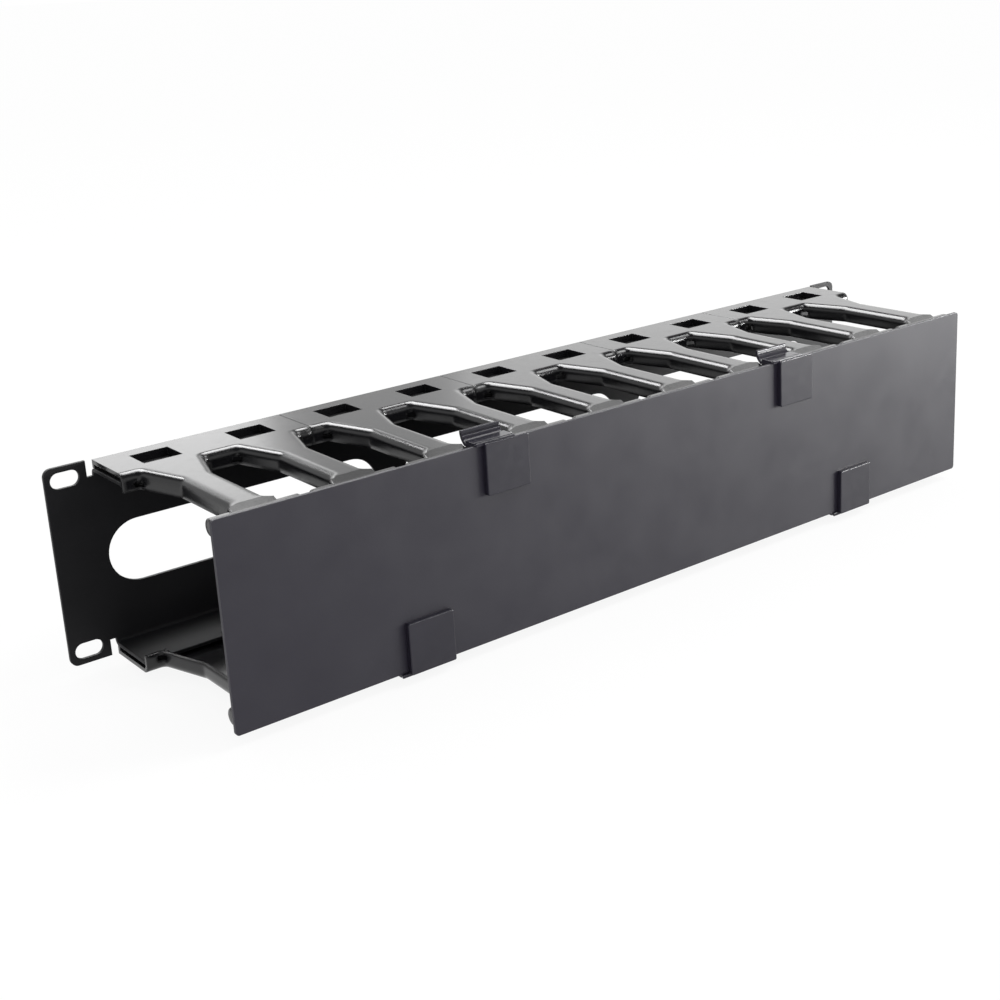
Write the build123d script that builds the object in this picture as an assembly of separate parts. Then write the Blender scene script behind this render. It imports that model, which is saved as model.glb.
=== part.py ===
from build123d import *
import math
import os

os.makedirs("parts", exist_ok=True)

# Frame: X along the rack width, -Y toward the aisle (the cover), +Z up.
# The origin is the middle of the rack slot pattern, on the rear face of the ears.

# Back panel: one folded steel sheet
panel_width = 482.6
panel_height = 88.0
sheet = 1.5
bend_inner_radius = 1.5
ear_corner_radius = 3.5
ear_width = 18.2
slot_inset_x = 8.75
slot_inset_z = 5.9
slot_length = 12.5
slot_width = 7.0
relief_width = 2.8
relief_depth = 7.2
flange_inset = 3.8
pass_count = 3
pass_bridge = 15.9
pass_end_margin = 1.9
pass_height = 28.0

# Finger modules: moulded plastic, two fingers each
modules_per_row = 5
row_overhang = 0.2
module_gap = 0.4
module_wall = 1.8
module_rise = 3.8
lip_height = 8.0
roll_radius = 3.5
strip_back_y = -1.8
strip_lip_y = -31.3
neck_y = -54.5
notch_back_width = 14.8
notch_width = 29.0
notch_corner_radius = 1.2
root_fillet = 3.5
window_width = 17.2
window_depth = 14.7
window_back_y = -9.1
window_frame_wall = 1.5
seat_clearance = 0.1

# Snap ledges that hold a module on the flange, and the core holes beside them
ledge_width = 8.0
ledge_thickness = 1.6
ledge_grip = 2.2
end_ledge_inset = 7.0
flange_lip_gap = 0.3
core_hole_width = 4.0
core_hole_height = 2.4
core_hole_rim = 1.2

# Bead: the round bar across each finger's tip, which the cover's clips snap on
bead_radius = 3.7
bead_wall = 1.5
bead_sink = 1.6
bead_y = -101.0
bead_gap = 5.5
bead_mouth = 2.6
bead_end_round = 0.9
bead_free_width = 25.2
tip_slope_run = 3.6

# Cover: one flat sheet
cover_end_inset = 0.6
cover_edge_inset = 0.2
cover_thickness = 1.5
cover_corner_radius = 1.6

# Cover clips
jaw_clearance = 0.25
jaw_wall = 1.05
jaw_wrap_deg = 15.0
jaw_width = 19.8
jaw_shift = -2.3
plate_width = 22.5
plate_height = 22.8
plate_thickness = 2.5
plate_shift = 2.65
plate_above_cover = 0.9
plate_corner_radius = 0.8
clip_fit = 0.05
leg_thickness = 1.0
leg_height = 10.0
bridge_thickness = 1.3
bridge_groove = 0.7
lever_rise = 5.0
lever_run = 2.9
lever_thickness = 1.4
lever_groove = 0.9
lever_groove_depth = 0.5
lever_bow = 0.7
lever_groove_share = 0.72
top_clip_notches = (-2, 2)
bottom_clip_notches = (-3, 3)

# How near two places count as the same when edges are picked
edge_match = 0.01

# Places that follow from the sizes above
relief_outer_x = panel_width / 2 - ear_width
channel_half = relief_outer_x - relief_width
slot_spacing_x = panel_width - 2 * slot_inset_x
slot_spacing_z = panel_height - 2 * slot_inset_z
pass_span = 2 * (channel_half - pass_end_margin)
pass_length = (pass_span - (pass_count - 1) * pass_bridge) / pass_count
flange_z = panel_height / 2 - flange_inset
module_top_z = flange_z + module_rise
module_pitch = 2 * (channel_half + row_overhang) / modules_per_row
finger_pitch = module_pitch / 2
module_width = module_pitch - module_gap
module_low_z = module_top_z - lip_height
notch_flare = math.atan2((notch_width - notch_back_width) / 2, strip_lip_y - neck_y)
bead_length = finger_pitch - bead_gap
bead_z = module_top_z - bead_sink - bead_radius
jaw_inner = bead_radius + jaw_clearance
jaw_outer = jaw_inner + jaw_wall
strip_flange_y = strip_lip_y + module_wall + flange_lip_gap
cover_back_y = bead_y - jaw_outer - clip_fit
cover_front_y = cover_back_y - cover_thickness
cover_width = 2 * (channel_half + row_overhang - cover_end_inset)
cover_height = panel_height - 2 * cover_edge_inset
cover_top_z = cover_height / 2


def box_between(x0, x1, y0, y1, z0, z1):
    """A box given by its two corners."""
    size = (x1 - x0, y1 - y0, z1 - z0)
    centre = ((x0 + x1) / 2, (y0 + y1) / 2, (z0 + z1) / 2)
    return Pos(*centre) * Box(*size)


def wall_slot(length, height, x, z):
    """A round-ended slot that goes right through the panel at (x, z)."""
    sketch = Plane.XZ * Pos(x, z) * SlotOverall(length, height)
    return extrude(sketch, amount=2 * sheet, both=True)


def channel_profile():
    """Section of the web and its two flanges, seen along X."""
    outer = bend_inner_radius + sheet
    depth = -strip_flange_y
    outside = RectangleRounded(2 * depth, 2 * flange_z, outer)
    inside = RectangleRounded(2 * depth - 2 * sheet, 2 * (flange_z - sheet), bend_inner_radius)
    front_half = Pos(-depth, 0) * Rectangle(2 * depth, 3 * flange_z)
    ring = outside - inside
    return Pos(-depth, 0) * (ring - front_half)


def back_panel():
    """Ears, web and forward flanges, folded from one sheet."""
    plate = extrude(Plane.XZ * Rectangle(panel_width, panel_height), amount=sheet)
    ear_edges = plate.edges().filter_by(Axis.Y)
    plate = fillet(ear_edges, ear_corner_radius)
    band_z = panel_height / 2 - relief_depth
    for side in (-1, 1):
        middle_z = side * (panel_height / 2 + band_z) / 2
        band = Pos(0, -sheet / 2, middle_z) * Box(2 * relief_outer_x, 3 * sheet, relief_depth)
        plate -= band
    channel = extrude(Plane.YZ * channel_profile(), amount=channel_half, both=True)
    panel = plate + channel
    for column in (-1, 1):
        for row in (-1, 1):
            x = column * slot_spacing_x / 2
            z = row * slot_spacing_z / 2
            panel -= wall_slot(slot_length, slot_width, x, z)
    first_x = -(pass_count - 1) / 2 * (pass_length + pass_bridge)
    for index in range(pass_count):
        x = first_x + index * (pass_length + pass_bridge)
        panel -= wall_slot(pass_length, pass_height, x, 0)
    return panel


def notch_outline(grow):
    """Plan of the opening between two fingers, grown outward by grow."""
    half_neck = notch_width / 2 + grow
    half_back = notch_back_width / 2 + grow * (1 - math.sin(notch_flare)) / math.cos(notch_flare)
    back_y = strip_lip_y + grow
    bend_y = back_y - (half_neck - half_back) / math.tan(notch_flare)
    root_y = bead_y + bead_radius - grow
    outline = Polygon(
        (-half_back, back_y),
        (half_back, back_y),
        (half_neck, bend_y),
        (half_neck, root_y),
        (-half_neck, root_y),
        (-half_neck, bend_y),
        align=None,
    )
    roots = outline.vertices().group_by(Axis.Y)[0]
    outline = fillet(roots, root_fillet + grow)
    others = [v for v in outline.vertices() if v.Y > bend_y - edge_match]
    return fillet(others, notch_corner_radius + grow)


def on_notch(edge, half_width, back_y):
    """Whether a top edge belongs to a notch, not to the straight outside."""
    middle = edge.position_at(0.5)
    at_end = abs(middle.X) > half_width - edge_match
    at_back = abs(middle.Y - back_y) < edge_match
    at_front = abs(middle.Y - bead_y) < edge_match
    return not (at_end or at_back or at_front)


def rolled_block(grow, half_width, back_y, top_z, roll):
    """A module's plan as a solid, its notch edges rolled over at the top."""
    plan = Pos(0, (back_y + bead_y) / 2) * Rectangle(2 * half_width, back_y - bead_y)
    for column in (-1, 0, 1):
        plan -= Pos(column * finger_pitch, 0) * notch_outline(grow)
    block = extrude(Pos(0, 0, module_low_z) * plan, amount=top_z - module_low_z)
    top_edges = block.faces().sort_by(Axis.Z)[-1].edges()
    rolled = [e for e in top_edges if on_notch(e, half_width, back_y)]
    return fillet(rolled, roll)


def window_frame(x):
    """Walls around a finger's window, down onto the flange."""
    low_z = flange_z + seat_clearance
    high_z = module_top_z - module_wall / 2
    half = window_width / 2 + window_frame_wall
    near_y = window_back_y + window_frame_wall
    far_y = window_back_y - window_depth - window_frame_wall
    return box_between(x - half, x + half, far_y, near_y, low_z, high_z)


def window_hole(x):
    """The window itself, right through the top."""
    half = window_width / 2
    far_y = window_back_y - window_depth
    return box_between(x - half, x + half, far_y, window_back_y, module_low_z, 2 * module_top_z)


def bead_rod(x):
    """The bead across one finger's tip, its ends closed and rounded."""
    rod = Cylinder(bead_radius, bead_length)
    rod = fillet(rod.edges().filter_by(GeomType.CIRCLE), bead_end_round)
    return Pos(x, bead_y, bead_z) * Rot(0, 90, 0) * rod


def bead_core(x):
    """The hollow inside a bead, open downward."""
    length = bead_length - 2 * bead_wall
    bore = Rot(0, 90, 0) * Cylinder(bead_radius - bead_wall, length)
    mouth = Pos(0, 0, -bead_radius) * Box(length, bead_mouth, 2 * bead_radius)
    return Pos(x, bead_y, bead_z) * (bore + mouth)


def tip_slope():
    """What is cut off where the stems' tops slope down to the bead's crown."""
    crown_z = bead_z + bead_radius
    section = Polygon(
        (bead_y + tip_slope_run, module_top_z),
        (bead_y - bead_radius, crown_z - bead_sink * bead_radius / tip_slope_run),
        (bead_y - bead_radius, module_top_z + bead_radius),
        (bead_y + tip_slope_run, module_top_z + bead_radius),
        align=None,
    )
    return extrude(Plane.YZ * section, amount=module_width, both=True)


def snap_ledges():
    """Small ledges inside the lip that reach under the flange's front edge."""
    top_z = flange_z - sheet - seat_clearance
    back_y = strip_flange_y + ledge_grip
    front_y = strip_lip_y + module_wall / 2
    end_x = module_pitch / 2 - end_ledge_inset
    ledges = Part()
    for x in (-end_x, 0, end_x):
        half = ledge_width / 2
        ledges += box_between(x - half, x + half, front_y, back_y, top_z - ledge_thickness, top_z)
    return ledges


def core_holes():
    """Core holes through the lip at the corners of each notch, near its rim."""
    z = module_low_z + core_hole_rim + core_hole_height / 2
    turn = math.degrees((math.pi / 2 - notch_flare) / 2)
    tool = Box(core_hole_width, 4 * module_wall, core_hole_height)
    holes = Part()
    for column in (-1, 0, 1):
        for side in (-1, 1):
            x = column * finger_pitch + side * notch_back_width / 2
            holes += Pos(x, strip_lip_y, z) * Rot(0, 0, -side * turn) * tool
    return holes


def finger_module():
    """A two-finger module of the top row, centred on x = 0."""
    half = module_width / 2
    inner_back_y = strip_back_y - module_wall
    inner_top_z = module_top_z - module_wall
    inner_roll = roll_radius - module_wall
    module = rolled_block(0, half, strip_back_y, module_top_z, roll_radius)
    module -= rolled_block(module_wall, half + module_gap, inner_back_y, inner_top_z, inner_roll)
    # The back wall stops on the flange
    module -= box_between(-module_width, module_width, inner_back_y, 0, 0, flange_z + seat_clearance)
    module -= tip_slope()
    # Between the stems only the bead is left, so that a clip's jaw can turn on it
    for column in (-1, 0, 1):
        free = Box(bead_free_width, 2 * jaw_outer, 4 * bead_radius)
        module -= Pos(column * finger_pitch, bead_y, bead_z) * free
    for side in (-1, 1):
        x = side * finger_pitch / 2
        module += window_frame(x)
        module -= window_hole(x)
        module += bead_rod(x)
        module -= bead_core(x)
    module += snap_ledges()
    return module - core_holes()


def cover_sheet():
    """The flat cover sheet with slightly rounded corners."""
    sheet_plan = RectangleRounded(cover_width, cover_height, cover_corner_radius)
    return extrude(Plane.XZ.offset(-cover_back_y) * sheet_plan, amount=cover_thickness)


def jaw_section():
    """Section of a top clip's jaw, bridge and lever, drawn in Y and Z."""
    bridge_bottom = cover_top_z + clip_fit
    bridge_top = bridge_bottom + bridge_thickness
    bridge_front = cover_front_y - clip_fit - plate_thickness / 2
    bridge = Pos((bridge_front + bead_y) / 2, (bridge_bottom + bridge_top) / 2)
    section = bridge * Rectangle(bead_y - bridge_front, bridge_top - bridge_bottom)
    leg_y = cover_back_y + clip_fit + leg_thickness / 2
    leg_z = bridge_top - bridge_thickness / 2 - leg_height / 2
    section += Pos(leg_y, leg_z) * Rectangle(leg_thickness, leg_height)
    section += Pos(bead_y, bead_z) * Circle(jaw_outer)
    # Solid shoulder between the leg, the bridge and the jaw's crown
    shoulder_front = cover_back_y + clip_fit
    shoulder = Pos((shoulder_front + bead_y) / 2, (bead_z + bridge_top) / 2)
    section += shoulder * Rectangle(bead_y - shoulder_front, bridge_top - bead_z)
    section -= Pos(bead_y, bead_z) * Circle(jaw_inner)
    mouth = math.radians(90 - jaw_wrap_deg)
    far = 2 * jaw_outer
    section -= Pos(bead_y, bead_z) * Polygon(
        (0, 0),
        (far * math.cos(mouth), -far * math.sin(mouth)),
        (far, -far * math.sin(mouth)),
        (far, far * math.sin(mouth)),
        (far * math.cos(mouth), far * math.sin(mouth)),
        align=None,
    )
    section -= Pos(cover_front_y - clip_fit, bridge_top) * Rectangle(bridge_groove, 2 * bridge_groove)
    return section + lever_section()


def lever_section():
    """Section of the release lever that rises behind the jaw's top lip."""
    lip = math.radians(jaw_wrap_deg) / 2
    mid_radius = (jaw_inner + jaw_outer) / 2
    foot = Vector(bead_y + mid_radius * math.sin(lip), bead_z + mid_radius * math.cos(lip))
    tip = foot + Vector(lever_run, lever_rise)
    along = Vector(lever_run, lever_rise).normalized()
    across = Vector(along.Y, -along.X)
    middle = (foot + tip) / 2 + across * lever_bow
    spine = ThreePointArc(foot, middle, tip)
    lever = trace(spine, lever_thickness) + Pos(tip.X, tip.Y) * Circle(lever_thickness / 2)
    groove_at = foot + (tip - foot) * lever_groove_share - across * (lever_thickness / 2 - lever_bow / 2)
    angle = math.degrees(math.atan2(lever_rise, lever_run))
    groove = Pos(groove_at.X, groove_at.Y) * Rot(0, 0, angle)
    return lever - groove * Rectangle(lever_groove, 2 * lever_groove_depth)


def top_clip():
    """A clip of the top edge, with its notch's middle at x = 0."""
    jaw = Pos(jaw_shift, 0, 0) * extrude(Plane.YZ * jaw_section(), jaw_width / 2, both=True)
    plate_top = cover_top_z + plate_above_cover
    plate_plan = RectangleRounded(plate_width, plate_height, plate_corner_radius)
    plate_plane = Plane.XZ.offset(-(cover_front_y - clip_fit))
    plate_place = plate_plane * Pos(plate_shift, plate_top - plate_height / 2)
    plate = extrude(plate_place * plate_plan, amount=plate_thickness)
    front_edges = plate.faces().sort_by(Axis.Y)[0].edges()
    return fillet(front_edges, plate_corner_radius / 2) + jaw


def one_solid(shape):
    """The shape as a single solid, for a node of its own."""
    solids = shape.solids()
    return solids[0] if len(solids) == 1 else shape


def write(shape, name):
    """One sub-part to its own file."""
    export_step(one_solid(shape), f"parts/{name}.step")


write(back_panel(), "back_panel")
write(cover_sheet(), "cover")

upper_module = finger_module()
lower_module = mirror(upper_module, about=Plane.XY)
first_x = -module_pitch * (modules_per_row - 1) / 2
for number in range(modules_per_row):
    place = Pos(first_x + number * module_pitch, 0, 0)
    write(place * upper_module, f"finger_module_top_{number + 1}")
    write(place * lower_module, f"finger_module_bottom_{number + 1}")

upper_clip = top_clip()
lower_clip = mirror(upper_clip, about=Plane.XY)
for side, notch in zip(("left", "right"), top_clip_notches):
    write(Pos(notch * finger_pitch, 0, 0) * upper_clip, f"cover_clip_top_{side}")
for side, notch in zip(("left", "right"), bottom_clip_notches):
    write(Pos(notch * finger_pitch, 0, 0) * lower_clip, f"cover_clip_bottom_{side}")
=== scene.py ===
import math

import bpy
from mathutils import Matrix, Quaternion, Vector


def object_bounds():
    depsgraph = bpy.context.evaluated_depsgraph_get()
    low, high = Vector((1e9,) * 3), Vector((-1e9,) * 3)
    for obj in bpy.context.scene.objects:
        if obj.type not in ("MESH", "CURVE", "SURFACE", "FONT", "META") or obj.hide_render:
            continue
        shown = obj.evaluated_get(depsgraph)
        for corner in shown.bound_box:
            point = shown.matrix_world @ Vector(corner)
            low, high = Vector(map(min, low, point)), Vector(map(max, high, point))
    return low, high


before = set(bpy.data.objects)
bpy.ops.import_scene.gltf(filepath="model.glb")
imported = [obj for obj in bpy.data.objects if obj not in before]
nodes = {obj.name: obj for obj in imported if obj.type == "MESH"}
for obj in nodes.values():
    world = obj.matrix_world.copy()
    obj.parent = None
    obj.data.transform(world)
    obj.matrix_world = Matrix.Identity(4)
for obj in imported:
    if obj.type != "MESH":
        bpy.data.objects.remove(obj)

cad_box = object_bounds()
scene = bpy.context.scene

# The floor, in metres
FLOOR_SIZE = 60
FLOOR_GAP = 0.0003

# Brightness of the stage, where 1 is white
FLOOR_COLOUR = (0.9, 0.9, 0.9, 1)
FLOOR_GLOW = 0.9
SEEN_WORLD = 1.0
WORLD_FILL = 1.0
CEILING = 0.1

# The steepness of a reflected ray at which the ceiling begins, and is fully there
CEILING_EDGE = (0.46, 0.60)

# Radii in metres to which the shading rounds the edges
PAINT_EDGE = 0.0004
PLASTIC_EDGE = 0.00035
LIP_EDGE = 0.0028
BEVEL_SAMPLES = 8

# The cosine of the rounding's turn: on a flat face, and where an edge fully takes the lighter
# edge colour, which is partly wear and partly a painted highlight
WEAR_AND_HIGHLIGHT_EDGE = (0.97, 0.75)

# Where the fingers' lips begin and where their sloped tips lie, as Y in metres
LIP_REACH = (-0.027, -0.029)
TIP_REACH = (-0.0945, -0.0965)

# How level a face is to be eased as a tip, and the most that its shading is eased to the flat
TIP_LEVEL = (0.84, 0.9)
TIP_EASE = 0.97

# Relief of the surfaces: height in metres
PEEL_HEIGHT = 0.00006
PEEL_STRENGTH = 0.35
FLOW_HEIGHT = 0.0001

# The Mix node's factor, and for each data type its two inputs and its output
MIX_FACTOR = 0
MIX_SOCKETS = {"VECTOR": (4, 5, 1), "RGBA": (6, 7, 2)}


# Shader building blocks

def new_material(name):
    """An empty node material: its tree, its shader and its output."""
    mat = bpy.data.materials.new(name)
    mat.use_nodes = True
    tree = mat.node_tree
    tree.nodes.clear()
    out = tree.nodes.new("ShaderNodeOutputMaterial")
    shader = tree.nodes.new("ShaderNodeBsdfPrincipled")
    tree.links.new(shader.outputs[0], out.inputs[0])
    return mat, tree, shader, out


def place_in(tree):
    """The point's place on the part, in metres."""
    return tree.nodes.new("ShaderNodeTexCoord").outputs["Object"]


def part_of(tree, vector, axis):
    """The X, Y or Z of a vector."""
    split = tree.nodes.new("ShaderNodeSeparateXYZ")
    tree.links.new(vector, split.inputs[0])
    return split.outputs[axis]


def noise(tree, scale, detail, rough=0.55, stretch=(1, 1, 1)):
    """Noise on the part in metres, stretched along the axes."""
    mapping = tree.nodes.new("ShaderNodeMapping")
    mapping.inputs["Scale"].default_value = stretch
    tree.links.new(place_in(tree), mapping.inputs["Vector"])
    tex = tree.nodes.new("ShaderNodeTexNoise")
    tex.inputs["Scale"].default_value = scale
    tex.inputs["Detail"].default_value = detail
    tex.inputs["Roughness"].default_value = rough
    tree.links.new(mapping.outputs[0], tex.inputs["Vector"])
    return tex.outputs["Fac"]


def ramp(tree, source, reach, values=(0, 1)):
    """A number that runs between the two values as source runs over the reach."""
    node = tree.nodes.new("ShaderNodeMapRange")
    node.inputs["From Min"].default_value = reach[0]
    node.inputs["From Max"].default_value = reach[1]
    node.inputs["To Min"].default_value = values[0]
    node.inputs["To Max"].default_value = values[1]
    tree.links.new(source, node.inputs["Value"])
    return node.outputs[0]


def calculate(tree, operation, *values):
    """The result of a Math node on outputs and plain numbers."""
    node = tree.nodes.new("ShaderNodeMath")
    node.operation = operation
    for socket, value in zip(node.inputs, values):
        if isinstance(value, float):
            socket.default_value = value
        else:
            tree.links.new(value, socket)
    return node.outputs[0]


def mix(tree, kind, factor, first, second):
    """A blend of two outputs of that kind; a colour may also be three plain numbers."""
    node = tree.nodes.new("ShaderNodeMix")
    node.data_type = kind
    first_socket, second_socket, result = MIX_SOCKETS[kind]
    tree.links.new(factor, node.inputs[MIX_FACTOR])
    for index, value in ((first_socket, first), (second_socket, second)):
        if isinstance(value, tuple):
            node.inputs[index].default_value = (*value, 1)
        else:
            tree.links.new(value, node.inputs[index])
    return node.outputs[result]


def soft_edge(tree, radius):
    """The surface normal, rounded over every edge to that radius in metres."""
    node = tree.nodes.new("ShaderNodeBevel")
    node.samples = BEVEL_SAMPLES
    node.inputs["Radius"].default_value = radius
    return node.outputs["Normal"]


def edge_mask(tree, rounded):
    """1 on the edges that the rounded normal turns over, 0 on flat faces."""
    geometry = tree.nodes.new("ShaderNodeNewGeometry")
    compare = tree.nodes.new("ShaderNodeVectorMath")
    compare.operation = "DOT_PRODUCT"
    tree.links.new(rounded, compare.inputs[0])
    tree.links.new(geometry.outputs["Normal"], compare.inputs[1])
    return ramp(tree, compare.outputs["Value"], WEAR_AND_HIGHLIGHT_EDGE)


def bump(tree, shader, relief, height, strength, rounded):
    """Surface relief of that height in metres, laid over the rounded edges."""
    node = tree.nodes.new("ShaderNodeBump")
    node.inputs["Strength"].default_value = strength
    node.inputs["Distance"].default_value = height
    tree.links.new(relief, node.inputs["Height"])
    tree.links.new(rounded, node.inputs["Normal"])
    tree.links.new(node.outputs[0], shader.inputs["Normal"])


def level_share(tree, reach, share):
    """1 up to the first height from the mid plane, falling to share at the second."""
    height = calculate(tree, "ABSOLUTE", part_of(tree, place_in(tree), "Z"))
    return ramp(tree, height, reach, (1, share))


def soft_lips(tree, crisp):
    """The crisp normal, broadly rounded on the fingers' lips and eased on their sloped tips."""
    along = part_of(tree, place_in(tree), "Y")
    lips = ramp(tree, along, LIP_REACH)
    wide = mix(tree, "VECTOR", lips, crisp, soft_edge(tree, LIP_EDGE))

    facing = part_of(tree, crisp, "Z")
    flat = tree.nodes.new("ShaderNodeCombineXYZ")
    tree.links.new(facing, flat.inputs["Z"])
    upright = tree.nodes.new("ShaderNodeVectorMath")
    upright.operation = "NORMALIZE"
    tree.links.new(flat.outputs[0], upright.inputs[0])

    sloped = ramp(tree, calculate(tree, "ABSOLUTE", facing), TIP_LEVEL, (0, TIP_EASE))
    tips = ramp(tree, along, TIP_REACH)
    eased = calculate(tree, "MULTIPLY", tips, sloped)
    return mix(tree, "VECTOR", eased, wide, upright.outputs[0])


# Materials

def powder_coat(name, dark, light, edge_wear_and_highlight, rough, specular, grain):
    """Baked powder paint: fine orange peel, faint mottling, edges lightened partly as wear and
    partly as a painted highlight.
    """
    mat, tree, shader, _ = new_material(name)
    rounded = soft_edge(tree, PAINT_EDGE)
    mottle = ramp(tree, noise(tree, scale=14, detail=5), (0.35, 0.65))
    specks = ramp(tree, noise(tree, scale=900, detail=2), (0.62, 0.72), (0, 0.35))
    colour = mix(tree, "RGBA", mottle, dark, light)
    colour = mix(tree, "RGBA", specks, colour, light)
    # Lighter colour on the edges: partly wear, partly a painted highlight along them
    colour = mix(tree, "RGBA", edge_mask(tree, rounded), colour, edge_wear_and_highlight)
    tree.links.new(colour, shader.inputs["Base Color"])
    patches = noise(tree, scale=60, detail=4)
    sheen = ramp(tree, patches, (0.3, 0.7), (rough - 0.03, rough + 0.04))
    tree.links.new(sheen, shader.inputs["Roughness"])
    shader.inputs["Specular IOR Level"].default_value = specular
    peel = noise(tree, scale=grain, detail=3, rough=0.6)
    bump(tree, shader, peel, PEEL_HEIGHT, PEEL_STRENGTH, rounded)
    return mat


def moulded_plastic(name, dark, light, edge_wear_and_highlight, rough, specular, relief, lips=False, polish=None):
    """Injection-moulded plastic: faint flow marks, fine scuffs, a glossy skin, edges lightened
    partly as wear and partly as a painted highlight.

    With lips, the fingers' lips and tips get their own shading. Polish is a reach of
    heights and the share of roughness that is left above it.
    """
    mat, tree, shader, _ = new_material(name)
    rounded = soft_edge(tree, PLASTIC_EDGE)
    streaks = noise(tree, scale=22, detail=4, rough=0.5, stretch=(1, 0.35, 1))
    colour = mix(tree, "RGBA", ramp(tree, streaks, (0.35, 0.65)), dark, light)
    # Lighter colour on the edges: partly wear, partly a painted highlight along them
    colour = mix(tree, "RGBA", edge_mask(tree, rounded), colour, edge_wear_and_highlight)
    tree.links.new(colour, shader.inputs["Base Color"])
    scratches = noise(tree, scale=220, detail=5, rough=0.7)
    scuffs = ramp(tree, scratches, (0.45, 0.8), (rough, rough + 0.07))
    if polish:
        scuffs = calculate(tree, "MULTIPLY", scuffs, level_share(tree, *polish))
    tree.links.new(scuffs, shader.inputs["Roughness"])
    shader.inputs["Specular IOR Level"].default_value = specular
    if lips:
        rounded = soft_lips(tree, rounded)
    flow = noise(tree, scale=70, detail=3, rough=0.5)
    bump(tree, shader, flow, FLOW_HEIGHT, relief, rounded)
    return mat


panel_paint = powder_coat(
    "panel_paint",
    dark=(0.0070, 0.0070, 0.0079),
    light=(0.0118, 0.0118, 0.0131),
    # Lighter edge colour: partly wear, partly a painted edge highlight
    edge_wear_and_highlight=(0.045, 0.045, 0.049),
    rough=0.5,
    specular=0.15,
    grain=1500,
)
cover_paint = powder_coat(
    "cover_paint",
    dark=(0.0148, 0.0131, 0.0218),
    light=(0.0168, 0.0150, 0.0240),
    # Lighter edge colour: partly wear, partly a painted edge highlight
    edge_wear_and_highlight=(0.12, 0.118, 0.130),
    rough=0.43,
    specular=0.27,
    grain=1300,
)
finger_plastic = moulded_plastic(
    "finger_plastic",
    dark=(0.0050, 0.0050, 0.0057),
    light=(0.0080, 0.0080, 0.0092),
    # Lighter edge colour: partly wear, partly a painted edge highlight
    edge_wear_and_highlight=(0.05, 0.05, 0.053),
    rough=0.17,
    specular=0.4,
    relief=0.04,
    lips=True,
)
clip_plastic = moulded_plastic(
    "clip_plastic",
    dark=(0.0120, 0.0107, 0.0185),
    # Lighter edge colour: partly wear, partly a painted edge highlight
    light=(0.0160, 0.0143, 0.0236),
    edge_wear_and_highlight=(0.06, 0.057, 0.068),
    rough=0.36,
    specular=0.29,
    relief=0.02,
    polish=((0.0440, 0.0446), 0.5),
)

# A node takes the finish of the first of these that its name starts with
finishes = {
    "back_panel": panel_paint,
    "finger_module": finger_plastic,
    "cover_clip": clip_plastic,
    "cover": cover_paint,
}
for name, node in nodes.items():
    start = next(start for start in finishes if name.startswith(start))
    node.data.materials.clear()
    node.data.materials.append(finishes[start])


# Stage: pale floor, white surroundings and lamps

def seen_directly(tree):
    """1 for camera, glossy and transmission rays, 0 for the light that falls on things."""
    path = tree.nodes.new("ShaderNodeLightPath")
    total = path.outputs["Is Camera Ray"]
    for ray in ("Is Glossy Ray", "Is Transmission Ray"):
        total = calculate(tree, "MAXIMUM", total, path.outputs[ray])
    return total


def mix_shaders(tree, factor, first, second):
    """A blend of two shaders."""
    node = tree.nodes.new("ShaderNodeMixShader")
    for socket, value in zip(node.inputs, (factor, first, second)):
        tree.links.new(value, socket)
    return node.outputs[0]


def add_floor():
    """A pale floor under the part, white to the eye, with the part's shadow on it."""
    height = cad_box[0][2] - FLOOR_GAP
    bpy.ops.mesh.primitive_plane_add(size=FLOOR_SIZE, location=(0, 0, height))
    floor = bpy.context.object
    floor.name = "floor"
    mat, tree, shader, out = new_material("floor_white")
    shader.inputs["Base Color"].default_value = FLOOR_COLOUR
    shader.inputs["Roughness"].default_value = 0.9
    shader.inputs["Specular IOR Level"].default_value = 0.1
    glow = tree.nodes.new("ShaderNodeEmission")
    glow.inputs["Strength"].default_value = 1.0
    share = calculate(tree, "MULTIPLY", seen_directly(tree), FLOOR_GLOW)
    blend = mix_shaders(tree, share, shader.outputs[0], glow.outputs[0])
    tree.links.new(blend, out.inputs[0])
    floor.data.materials.append(mat)


def add_world():
    """White all round for the eye; steep reflections see a dim ceiling instead."""
    world = bpy.data.worlds.new("studio")
    scene.world = world
    world.use_nodes = True
    tree = world.node_tree
    tree.nodes.clear()
    out = tree.nodes.new("ShaderNodeOutputWorld")
    shades = {}
    strengths = {"seen": SEEN_WORLD, "fill": WORLD_FILL, "ceiling": CEILING}
    for name, strength in strengths.items():
        shade = tree.nodes.new("ShaderNodeBackground")
        shade.inputs["Color"].default_value = (1, 1, 1, 1)
        shade.inputs["Strength"].default_value = strength
        shades[name] = shade.outputs[0]
    direction = tree.nodes.new("ShaderNodeTexCoord").outputs["Generated"]
    high = ramp(tree, part_of(tree, direction, "Z"), CEILING_EDGE)
    path = tree.nodes.new("ShaderNodeLightPath")
    steep = calculate(tree, "MULTIPLY", path.outputs["Is Glossy Ray"], high)
    shown = mix_shaders(tree, seen_directly(tree), shades["fill"], shades["seen"])
    shown = mix_shaders(tree, steep, shown, shades["ceiling"])
    tree.links.new(shown, out.inputs[0])


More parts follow.
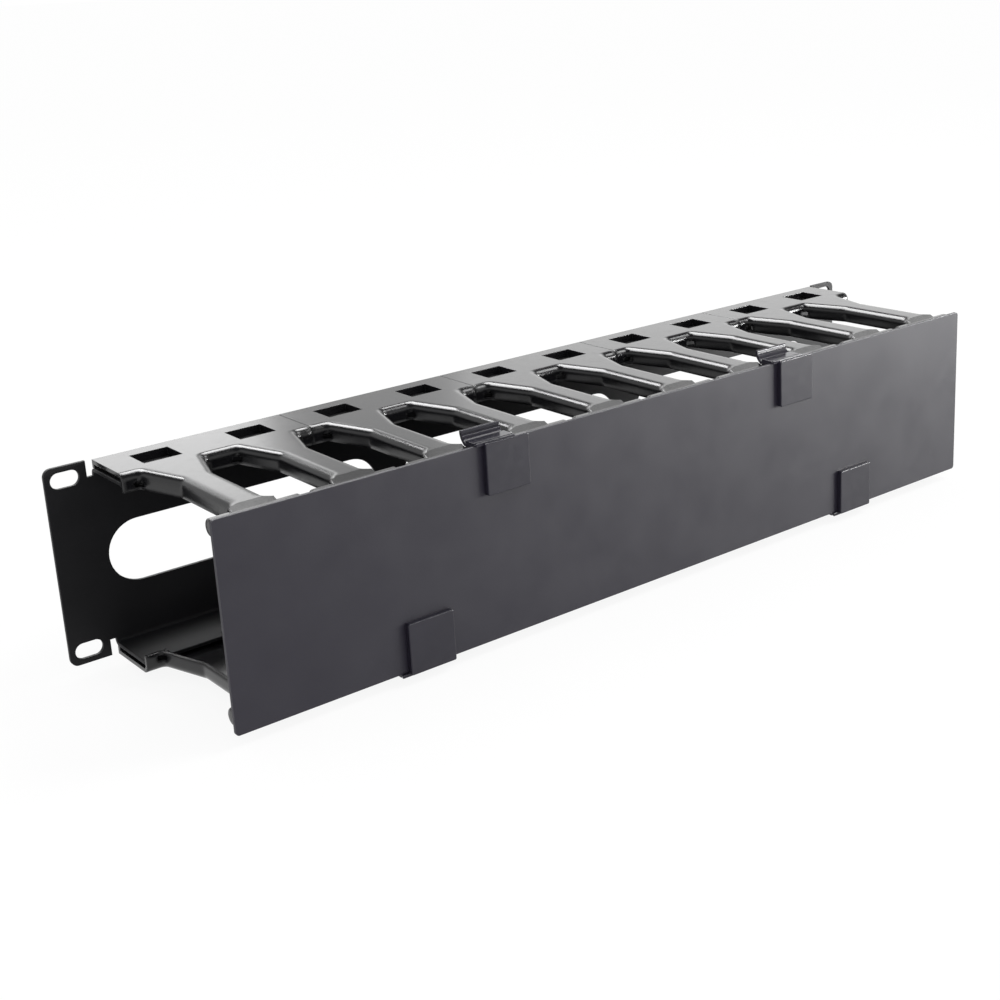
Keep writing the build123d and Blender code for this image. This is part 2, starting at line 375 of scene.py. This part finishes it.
def soft_box(name, place, aim, size, radiance, turn=0, gloss_only=True):
    """A rectangular lamp at place that faces aim, turned in its own plane by turn degrees.

    A gloss_only lamp shows in reflections and leaves the plain level of the light as it is.
    """
    lamp = bpy.data.lights.new(name, "AREA")
    lamp.shape = "RECTANGLE"
    lamp.size, lamp.size_y = size
    lamp.energy = radiance * math.pi * size[0] * size[1]
    obj = bpy.data.objects.new(name, lamp)
    scene.collection.objects.link(obj)
    obj.location = place
    obj.visible_diffuse = not gloss_only
    facing = (Vector(aim) - Vector(place)).to_track_quat("-Z", "Y")
    obj.rotation_euler = (facing @ Quaternion((0, 0, 1), math.radians(turn))).to_euler()


add_floor()
add_world()
soft_box(
    "overhead", (0.06, 0.58, 1.25), aim=(0.06, -0.05, 0), size=(1.35, 0.85), radiance=18, turn=-27
)
soft_box("rear", (0.1, 2.2, 0.85), aim=(0, -0.05, 0.03), size=(1.8, 1.15), radiance=2.1)
soft_box("rear_right", (1.7, 1.4, 0.7), aim=(0, -0.05, 0.03), size=(1.3, 1.05), radiance=0.7)
soft_box("right", (1.8, -1.2, 0.24), aim=(0.2, -0.1, 0), size=(1.1, 0.48), radiance=82)
soft_box(
    "front_high", (0.95, -0.55, 1.2), aim=(0, -0.1, 0), size=(0.6, 0.5), radiance=12,
    gloss_only=False
)


# Camera: solved from the photograph, for an image of 1000 x 1000

camera_place = (-0.448363, -0.600288, 0.231524)
camera_right = Vector((0.772745, -0.632996, -0.046698))
camera_up = Vector((0.218514, 0.196237, 0.955899))
focal_px = 1538.298
centre_px = (558.52, 430.601)
image_px = 1000
sensor_mm = 36

camera = bpy.data.cameras.new("camera")
camera.sensor_width = sensor_mm
camera.lens = focal_px * sensor_mm / image_px
camera.shift_x = (image_px / 2 - centre_px[0]) / image_px
camera.shift_y = (centre_px[1] - image_px / 2) / image_px
camera.clip_start = 0.01
camera.clip_end = 50
camera_object = bpy.data.objects.new("camera", camera)
scene.collection.objects.link(camera_object)
camera_back = camera_right.cross(camera_up)
axes = Matrix((camera_right, camera_up, camera_back)).transposed().to_4x4()
camera_object.matrix_world = Matrix.Translation(camera_place) @ axes
scene.camera = camera_object
scene.view_settings.view_transform = "Standard"
